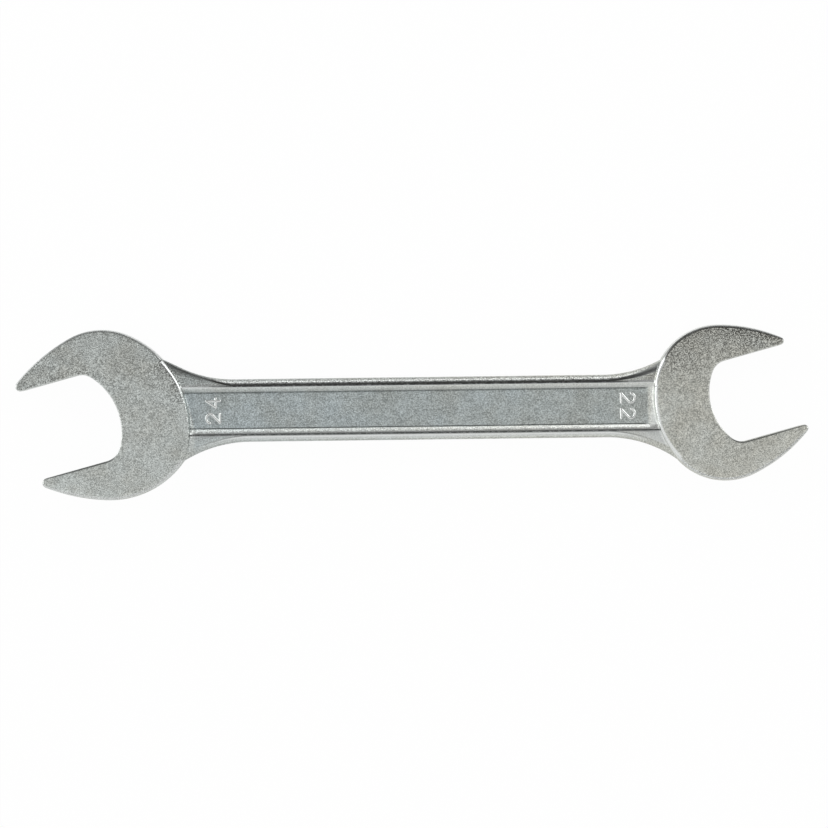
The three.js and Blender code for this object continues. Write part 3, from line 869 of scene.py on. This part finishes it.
def numeralStrokes(numeral):
    # the strokes of a numeral as shares of its width and height from its middle: an arc that
    # runs into a leg, and straight lines
    if numeral == 2:
        angle = np.linspace(math.pi * 0.98, -math.pi * 0.22, 26)
        bowl = np.stack([0.5 * np.cos(angle), 0.22 + 0.28 * np.sin(angle)], axis=1)
        t = np.linspace(0, 1, 14)[1:, None]
        leg = bowl[-1] * (1 - t) + np.array([-0.48, -0.48]) * t
        return [np.concatenate([bowl, leg]), np.array([[-0.5, -0.5], [0.5, -0.5]])]
    return [np.array([[0.2, 0.5], [-0.5, -0.2]]), np.array([[-0.5, -0.2], [0.5, -0.2]]),
            np.array([[0.2, 0.5], [0.2, -0.5]])]


def strokeTube(path, floor, way):
    # a half-sunk tube along a path: an ellipse across it, drawn in to a point at both ends
    steps = np.linalg.norm(np.diff(path, axis=0), axis=1)
    walk = np.concatenate([[0.0], np.cumsum(steps)])
    length, radius = walk[-1], marking["stroke"] / 2
    ends = radius * (1 - np.cos(np.linspace(0, math.pi / 2, marking["endRings"])))
    body = np.linspace(0, length, max(8, int(length / marking["stationStep"])))[1:-1]
    at = np.concatenate([ends - radius, body, length + radius - ends[::-1]])
    size = np.sqrt(np.clip(1 - np.clip(np.maximum(-at, at - length) / radius, 0, 1)**2, 0, 1))
    inside = np.clip(at, 0, length)
    points, ahead, behind = (
        np.stack([np.interp(np.clip(inside + shift, 0, length), walk, c) for c in path.T], axis=1)
        for shift in (0.0, 0.05, -0.05))
    tangent = (ahead - behind) / np.linalg.norm(ahead - behind, axis=1, keepdims=True)
    points = points + tangent * (at - inside)[:, None]
    across = np.stack([-tangent[:, 1], tangent[:, 0]], axis=1)
    turn = np.linspace(0, 2 * math.pi, marking["sides"] + 1)[:-1]
    side = radius * size[:, None] * np.cos(turn)[None, :]
    rise = marking["relief"] * size[:, None] * np.sin(turn)[None, :]
    x = points[:, :1] + across[:, :1] * side
    y = points[:, 1:] + across[:, 1:] * side
    z = wrench["headHalf"] + way * (floor + rise)
    return np.stack([x, y, z], axis=-1)


def numberMesh(numerals, head, place):
    # a number on both faces, its top towards the head it belongs to
    centre = head["centre"][0] - head["side"] * place - middle[0]
    width, height = marking["width"] - marking["stroke"], marking["height"] - marking["stroke"]
    points, faces, start = [], [], 0
    for way in (1.0, -1.0):
        for slot, numeral in enumerate(numerals):
            shift = (slot - (len(numerals) - 1) / 2) * marking["pitch"]
            for stroke in numeralStrokes(numeral):
                along, up = stroke[:, 0] * width + shift, stroke[:, 1] * height
                path = np.stack([centre + head["side"] * up,
                                 -head["side"] * along * way - middle[1]], axis=1)
                tube = strokeTube(path, handle["panelHalf"] - marking["sunk"], way)
                rows, columns = tube.shape[:2]
                p = tube.reshape(-1, 3)
                index = np.arange(rows * columns).reshape(rows, columns)
                seam = np.stack([index[:-1, -1], index[1:, -1], index[1:, 0], index[:-1, 0]], -1)
                f = np.concatenate([gridFaces(rows, columns, 0), seam])
                volume = (p[f[:, 0]] * faceNormals(p - p.mean(axis=0), f)).sum()
                if volume < 0:
                    f = f[:, ::-1]
                points.append(p)
                faces.append(f + start)
                start += len(p)
    points, faces = np.concatenate(points), np.concatenate(faces)
    # the numbers carry the full shine mark: glossier, and painted with the lighter sheen
    marks = {mark: np.full(len(points), float(mark == "polishAndSheen")) for mark in markNames}
    return closedMesh("number_" + "".join(map(str, numerals)), points, faces, marks)


numbers = [numberMesh([2, 4], heads["24"], marking["places"]["24"]),
           numberMesh([2, 2], heads["22"], marking["places"]["22"])]
for number in numbers:
    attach(number, "root")
print("size numbers made")


def linearColour(code):
    # sRGB hex to the linear values that the shader mixes
    value = np.array([int(code[i:i + 2], 16) / 255 for i in (0, 2, 4)])
    linear = np.where(value <= 0.04045, value / 12.92, ((value + 0.055) / 1.055)**2.4)
    return (*linear, 1.0)


def addNode(tree, kind, inputs=None, **settings):
    # one node with its settings, its fixed inputs and its links
    node = tree.nodes.new(kind)
    for key, value in settings.items():
        setattr(node, key, value)
    for key, value in (inputs or {}).items():
        if isinstance(value, bpy.types.NodeSocket):
            tree.links.new(value, node.inputs[key])
        else:
            node.inputs[key].default_value = value
    return node


def perMetre(millimetres):
    # texture scale whose features are this many millimetres across
    return 1.0 / (millimetres * metre)


steel = {
    "light": "ebedea",            # satin plating, as the eye sees it on a flat face
    "dark": "969895",
    "bare": "e8ebea",             # painted sheen: smooth edges, where the plating shines, drawn lighter than the faces
    "panelTone": "ebf1f7",        # the sunk panel is a little darker and cooler
    "shadow": "3c403f",           # painted shade in the creases
    "line": "232625",             # painted dark reflection line along the crests of the ribs and along the rims
    "dull": "4a4844",             # specks of dull plating, and painted shade on the rims and edges
    "warm": "fffdf6",             # tints of the slow changes of tone
    "cool": "fbffff",
    "grain": 0.33,                # mm; shot-blast grain, drawn coarser than it is so that it shows
    "peel": 1.5,                  # mm; orange peel left by the forging dies
    "patch": 8.0,                 # mm; slow changes of tone
    "bumpDepth": 0.15,            # mm
    "bumpOnSmooth": 0.4,          # share of the relief that the smooth edges keep
    "grainShare": 0.65,           # of the relief, the rest is peel
    "slowShare": 0.2,             # of the tone, the rest is grain
    "endTint": 0.2,               # how much warmer and cooler the two ends are
    "endPlace": 60.0,             # and where, in mm from the middle
    "sheenShare": 0.8,             # how much the painted sheen, the painted crease shade and the painted dark line cover
    "shadowShare": 0.78,
    "lineShare": (0.5, 0.92),     # more where the skin stands high
    "matt": (0.36, 0.48),         # roughness of the blasted faces
    "worn": 0.24,                 # roughness of the smooth edges and crests
}


def platedSteel():
    # Drop forged alloy steel, shot blasted and satin plated: a grey metal whose faces sparkle in
    # a fine grain, while its edges and the crests of its ribs are smooth and mirror the room.
    # Light and shade are painted in too: a lighter sheen on the smooth edges, dark reflection
    # lines on the crests and rims, and shade in the creases and on the rims.
    material = bpy.data.materials.new("satin_plated_forged_steel")
    material.use_nodes = True
    tree = material.node_tree
    tree.nodes.clear()
    place = addNode(tree, "ShaderNodeTexCoord").outputs["Object"]
    mark = {name: addNode(tree, "ShaderNodeAttribute", attribute_name=name).outputs["Fac"]
            for name in markNames}
    grain, peel, patch = (
        addNode(tree, "ShaderNodeTexNoise", {
            "Vector": place, "Scale": perMetre(steel[name]), "Detail": detail,
            "Roughness": roughness}).outputs["Fac"]
        for name, detail, roughness in (("grain", 2.0, 0.6), ("peel", 2.0, 0.6),
                                        ("patch", 3.0, 0.55)))

    # relief: the grain over the peel, gone on the cut jaws and weak on the smooth edges
    uncut = addNode(tree, "ShaderNodeMath", {0: 1.0, 1: mark["cut"]}, operation="SUBTRACT")
    smooth = addNode(tree, "ShaderNodeMapRange", {
        "Value": mark["polishAndSheen"], "To Min": 1.0, "To Max": steel["bumpOnSmooth"]})
    strength = addNode(tree, "ShaderNodeMath", {
        0: uncut.outputs[0], 1: smooth.outputs["Result"]}, operation="MULTIPLY")
    skin = addNode(tree, "ShaderNodeMix", {
        "Factor": steel["grainShare"], "A": peel, "B": grain}, data_type="FLOAT")
    bump = addNode(tree, "ShaderNodeBump", {
        "Strength": strength.outputs[0], "Distance": steel["bumpDepth"] * metre,
        "Height": skin.outputs["Result"]})

    # tone: mostly the grain, then the peel and the slow patches. Noise seldom leaves the span
    # that From Min and From Max give.
    fine = addNode(tree, "ShaderNodeMapRange", {
        "Value": grain, "From Min": 0.36, "From Max": 0.64})
    coarse = addNode(tree, "ShaderNodeMix", {
        "Factor": 0.5, "A": peel, "B": patch}, data_type="FLOAT")
    slow = addNode(tree, "ShaderNodeMapRange", {
        "Value": coarse.outputs["Result"], "From Min": 0.38, "From Max": 0.62})
    tone = addNode(tree, "ShaderNodeMix", {
        "Factor": steel["slowShare"], "A": fine.outputs["Result"],
        "B": slow.outputs["Result"]}, data_type="FLOAT")
    plain = addNode(tree, "ShaderNodeMix", {
        "Factor": tone.outputs["Result"], "A": linearColour(steel["dark"]),
        "B": linearColour(steel["light"])}, data_type="RGBA")

    # tint: slow patches, warmer at one end and cooler at the other, and the panel's own
    along = addNode(tree, "ShaderNodeSeparateXYZ", {"Vector": place}).outputs["X"]
    end = addNode(tree, "ShaderNodeMapRange", {
        "Value": along, "From Min": -steel["endPlace"] * metre,
        "From Max": steel["endPlace"] * metre, "To Min": steel["endTint"],
        "To Max": -steel["endTint"]})
    patched = addNode(tree, "ShaderNodeMath", {0: patch, 1: end.outputs["Result"]},
                      operation="ADD")
    hue = addNode(tree, "ShaderNodeMapRange", {
        "Value": patched.outputs[0], "From Min": 0.2, "From Max": 0.8})
    swell = addNode(tree, "ShaderNodeMix", {
        "Factor": hue.outputs["Result"], "A": linearColour(steel["warm"]),
        "B": linearColour(steel["cool"])}, data_type="RGBA")
    tint = addNode(tree, "ShaderNodeMix", {
        "Factor": mark["panel"], "A": swell.outputs["Result"],
        "B": linearColour(steel["panelTone"])}, data_type="RGBA", blend_type="MULTIPLY")
    tinted = addNode(tree, "ShaderNodeMix", {
        "Factor": 1.0, "A": plain.outputs["Result"], "B": tint.outputs["Result"]},
        data_type="RGBA", blend_type="MULTIPLY")

    # over it the painted sheen of the edges, the painted shade in the creases, the painted dark
    # reflection lines, and the dull specks with painted shade on the rims
    lineLow, lineHigh = steel["lineShare"]
    broken = addNode(tree, "ShaderNodeMapRange", {
        "Value": skin.outputs["Result"], "From Min": 0.38, "From Max": 0.52,
        "To Min": lineLow, "To Max": lineHigh})
    specks = addNode(tree, "ShaderNodeMapRange", {
        "Value": grain, "From Min": 0.4, "From Max": 0.58, "To Min": 1.0, "To Max": 0.05})
    colour = tinted.outputs["Result"]
    for name, share, over in (("polishAndSheen", steel["sheenShare"], "bare"),
                              ("crease", steel["shadowShare"], "shadow"),
                              ("darkReflection", broken.outputs["Result"], "line"),
                              ("dull", specks.outputs["Result"], "dull")):
        cover = addNode(tree, "ShaderNodeMath", {0: mark[name], 1: share}, operation="MULTIPLY")
        colour = addNode(tree, "ShaderNodeMix", {
            "Factor": cover.outputs[0], "A": colour, "B": linearColour(steel[over])},
            data_type="RGBA").outputs["Result"]

    # gloss: matt faces with a little variation, smooth edges
    smoothest, roughest = steel["matt"]
    matt = addNode(tree, "ShaderNodeMapRange", {
        "Value": peel, "From Min": 0.3, "From Max": 0.7, "To Min": smoothest,
        "To Max": roughest})
    gloss = addNode(tree, "ShaderNodeMix", {
        "Factor": mark["polishAndSheen"], "A": matt.outputs["Result"], "B": steel["worn"]},
        data_type="FLOAT")
    surface = addNode(tree, "ShaderNodeBsdfPrincipled", {
        "Base Color": colour, "Metallic": 1.0, "Roughness": gloss.outputs["Result"],
        "Normal": bump.outputs["Normal"]})
    addNode(tree, "ShaderNodeOutputMaterial", {"Surface": surface.outputs["BSDF"]})
    return material


plating = platedSteel()
for piece in (forging, *numbers):
    piece.data.materials.append(plating)
print("plating ready")


# Studio: a pale floor, a room with a dark patch over the wrench, and soft lamps
studio = {
    "floorHalf": 6.0,             # half the floor's side, in metres
    "floorColour": "f4f4f2",
    "boardGlow": 0.97,            # share of plain white in the floor that the camera sees
    "boardMirror": 0.6,           # and in the floor that the metal mirrors
    "surround": 0.64,             # brightness of the room at the sides
    "overhead": 0.87,             # and straight above
    "dimming": (0.35, 0.95),      # heights where it changes, from 0 at the sides to 1 above
    "slant": (-0.15, -0.1, 0.0),  # how the room brightens towards the lower left
    "darkPatch": 0.22,            # how bright the dark patch above the object is
    "darkTilt": 22.0,             # its angle from straight up, towards +Y
    "darkWidth": (32.0, 12.8),    # angles from its middle to its end and to its full darkness
}


def paleFloor():
    # white painted board: nearly white to the camera and dimmer in the metal, with the shadow
    material = bpy.data.materials.new("white_board")
    material.use_nodes = True
    tree = material.node_tree
    tree.nodes.clear()
    rays = addNode(tree, "ShaderNodeLightPath").outputs
    mirrored = addNode(tree, "ShaderNodeMath", {
        0: rays["Is Glossy Ray"], 1: rays["Is Transmission Ray"]}, operation="MAXIMUM")
    dimmer = addNode(tree, "ShaderNodeMath", {
        0: mirrored.outputs[0], 1: studio["boardMirror"]}, operation="MULTIPLY")
    seen = addNode(tree, "ShaderNodeMath", {
        0: rays["Is Camera Ray"], 1: studio["boardGlow"]}, operation="MULTIPLY")
    share = addNode(tree, "ShaderNodeMath", {
        0: seen.outputs[0], 1: dimmer.outputs[0]}, operation="MAXIMUM")
    board = addNode(tree, "ShaderNodeBsdfDiffuse", {"Color": linearColour(studio["floorColour"])})
    white = addNode(tree, "ShaderNodeEmission", {"Color": (1, 1, 1, 1), "Strength": 1.0})
    mixed = addNode(tree, "ShaderNodeMixShader", {
        "Fac": share.outputs[0], 1: board.outputs[0], 2: white.outputs[0]})
    addNode(tree, "ShaderNodeOutputMaterial", {"Surface": mixed.outputs[0]})
    half = studio["floorHalf"]
    mesh = bpy.data.meshes.new("studio_floor")
    mesh.from_pydata([(-half, -half, 0), (half, -half, 0), (half, half, 0), (-half, half, 0)],
                     [], [(0, 1, 2, 3)])
    mesh.materials.append(material)
    floor = bpy.data.objects.new("studio_floor", mesh)
    scene.collection.objects.link(floor)


def surround():
    # the room as the metal sees it: grey at the sides, brighter overhead, with a dark patch
    # that the wrench mirrors. To the camera it is plain white.
    world = bpy.data.worlds.new("studio_room")
    scene.world = world
    world.use_nodes = True
    tree = world.node_tree
    tree.nodes.clear()
    way = addNode(tree, "ShaderNodeTexCoord").outputs["Generated"]
    split = addNode(tree, "ShaderNodeSeparateXYZ", {"Vector": way})
    low, high = studio["dimming"]
    height = addNode(tree, "ShaderNodeMapRange", {
        "Value": split.outputs["Z"], "From Min": low, "From Max": high,
        "To Min": studio["surround"], "To Max": studio["overhead"]},
        interpolation_type="SMOOTHSTEP")
    slant = addNode(tree, "ShaderNodeVectorMath", {0: way, 1: studio["slant"]},
                    operation="DOT_PRODUCT")
    sides = addNode(tree, "ShaderNodeMath", {
        0: height.outputs["Result"], 1: slant.outputs["Value"]}, operation="ADD")
    tilt = math.radians(studio["darkTilt"])
    toPatch = addNode(tree, "ShaderNodeVectorMath", {
        0: way, 1: (0.0, math.sin(tilt), math.cos(tilt))}, operation="DOT_PRODUCT")
    rim, core = np.cos(np.radians(studio["darkWidth"]))
    patch = addNode(tree, "ShaderNodeMapRange", {
        "Value": toPatch.outputs["Value"], "From Min": rim, "From Max": core},
        interpolation_type="SMOOTHSTEP")
    light = addNode(tree, "ShaderNodeMix", {
        "Factor": patch.outputs["Result"], "A": sides.outputs[0],
        "B": studio["darkPatch"]}, data_type="FLOAT")
    rays = addNode(tree, "ShaderNodeLightPath").outputs
    shown = addNode(tree, "ShaderNodeMix", {
        "Factor": rays["Is Camera Ray"], "A": light.outputs["Result"], "B": 1.0},
        data_type="FLOAT")
    back = addNode(tree, "ShaderNodeBackground", {"Color": (1, 1, 1, 1),
                                                  "Strength": shown.outputs["Result"]})
    addNode(tree, "ShaderNodeOutputWorld", {"Surface": back.outputs[0]})


lamps = {
    # name: (turn from +X in degrees, height angle, distance m, width m, height m, radiance)
    "left_softbox": (160.0, 22.0, 1.5, 1.5, 0.8, 2.1),
    "back_softbox": (84.0, 10.0, 1.6, 1.4, 0.36, 2.5),
    "right_softbox": (30.0, 28.0, 1.6, 0.9, 1.1, 2.2),
}


def addLamp(name, turn, rise, distance, width, height, radiance):
    # a soft box that faces the wrench; its power gives the wanted brightness of its face
    turn, rise = math.radians(turn), math.radians(rise)
    data = bpy.data.lights.new(name, "AREA")
    data.shape = "RECTANGLE"
    data.size, data.size_y = width, height
    data.energy = radiance * width * height * math.pi
    lamp = bpy.data.objects.new(name, data)
    lamp.location = (distance * math.cos(rise) * math.cos(turn),
                     distance * math.cos(rise) * math.sin(turn), distance * math.sin(rise))
    lamp.rotation_euler = (math.pi / 2 - rise, 0.0, turn + math.pi / 2)
    scene.collection.objects.link(lamp)


paleFloor()
surround()
for name, values in lamps.items():
    addLamp(name, *values)

# Camera straight above, with a long lens, turned as in the photograph
view = {
    "frame": 828.0,               # pixels across the square picture
    "pixel": 0.2655,              # millimetres to a pixel
    "turn": -0.7076,              # degrees the picture is turned about the view
    "centre": (0.545, -0.7215),   # what stands at the middle of the picture, in millimetres
    "distance": 1500.0,           # millimetres over the upper face
    "sensor": 36.0,
    "clip": 50000.0,              # millimetres, past the floor's far side in any view
}
camera = bpy.data.objects.new("camera", bpy.data.cameras.new("camera"))
camera.data.sensor_width = view["sensor"]
camera.data.lens = view["sensor"] * view["distance"] / (view["frame"] * view["pixel"])
camera.data.clip_end = view["clip"] * metre
camera.location = (view["centre"][0] * metre, view["centre"][1] * metre,
                   (wrench["headHalf"] + view["distance"]) * metre)
camera.rotation_euler = (0.0, 0.0, math.radians(view["turn"]))
scene.collection.objects.link(camera)
scene.camera = camera
scene.view_settings.view_transform = "Standard"
print("studio ready")
